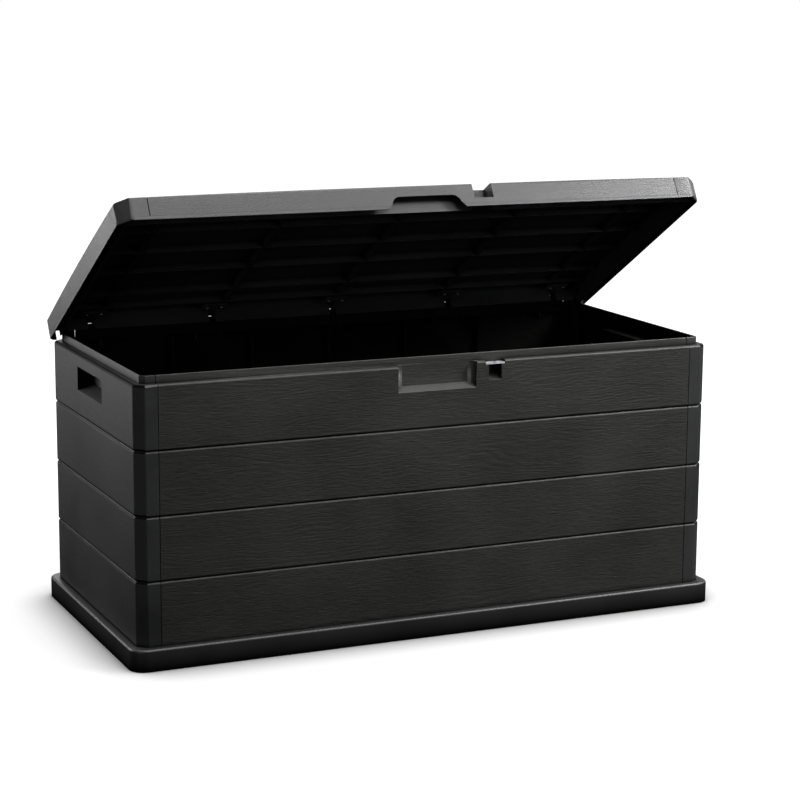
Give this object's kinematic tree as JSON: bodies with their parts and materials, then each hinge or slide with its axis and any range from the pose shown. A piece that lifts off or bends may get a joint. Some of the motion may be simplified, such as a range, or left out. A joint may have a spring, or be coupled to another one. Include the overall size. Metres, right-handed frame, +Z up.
{
  "type": "deck storage box",
  "caption": "Resin deck storage box with wood-look plank walls, a base tray and a hinged ribbed lid propped half open, with side grips, a front finger scoop and a padlock point.",
  "frame": {"origin": "on the floor under the middle of the base tray", "axes": "+X to the right, +Y to the back (hinge side), +Z up"},
  "size_m": [1.202, 0.572, 0.8437],
  "materials": {
    "base_resin": "fine moulded texture, semi-matte near-black",
    "grained_resin": "embossed wood grain, semi-matte anthracite",
    "wall_resin": "faint embossed wood grain, semi-matte anthracite",
    "lid_resin": "fine stippled texture, semi-matte dark grey",
    "hinge_resin": "satin moulded resin",
    "lock_plate": "dark powder coat",
    "hinge_pin": "zinc-plated",
    "zinc_screws": "zinc-plated"
  },
  "bodies": {
    "box": {"base_tray": "base_resin", "front_panel": "grained_resin", "back_panel": "grained_resin", "left_panel": "wall_resin", "right_panel": "wall_resin", "hinge_bracket_1": "hinge_resin", "hinge_bracket_2": "hinge_resin", "hinge_bracket_3": "hinge_resin", "hinge_bracket_4": "hinge_resin", "hinge_bracket_5": "hinge_resin", "hinge_pin_1": "hinge_pin", "hinge_pin_2": "hinge_pin", "hinge_pin_3": "hinge_pin", "hinge_pin_4": "hinge_pin", "hinge_pin_5": "hinge_pin", "bracket_screws": "zinc_screws", "corner_screws": "zinc_screws", "lock_plate": "lock_plate", "lock_plate_screws": "zinc_screws"},
    "lid": {"lid_shell": "lid_resin", "hinge_leaf_1": "hinge_resin", "hinge_leaf_2": "hinge_resin", "hinge_leaf_3": "hinge_resin", "hinge_leaf_4": "hinge_resin", "hinge_leaf_5": "hinge_resin", "leaf_screws": "zinc_screws"}
  },
  "joints": [
    {"name": "lid_hinge", "type": "hinge", "parent": "box", "child": "lid", "pos_m": [0, 0.2665, 0.5535], "axis": [-1, 0, 0], "range_deg": [-30.7, 66.3]}
  ]
}
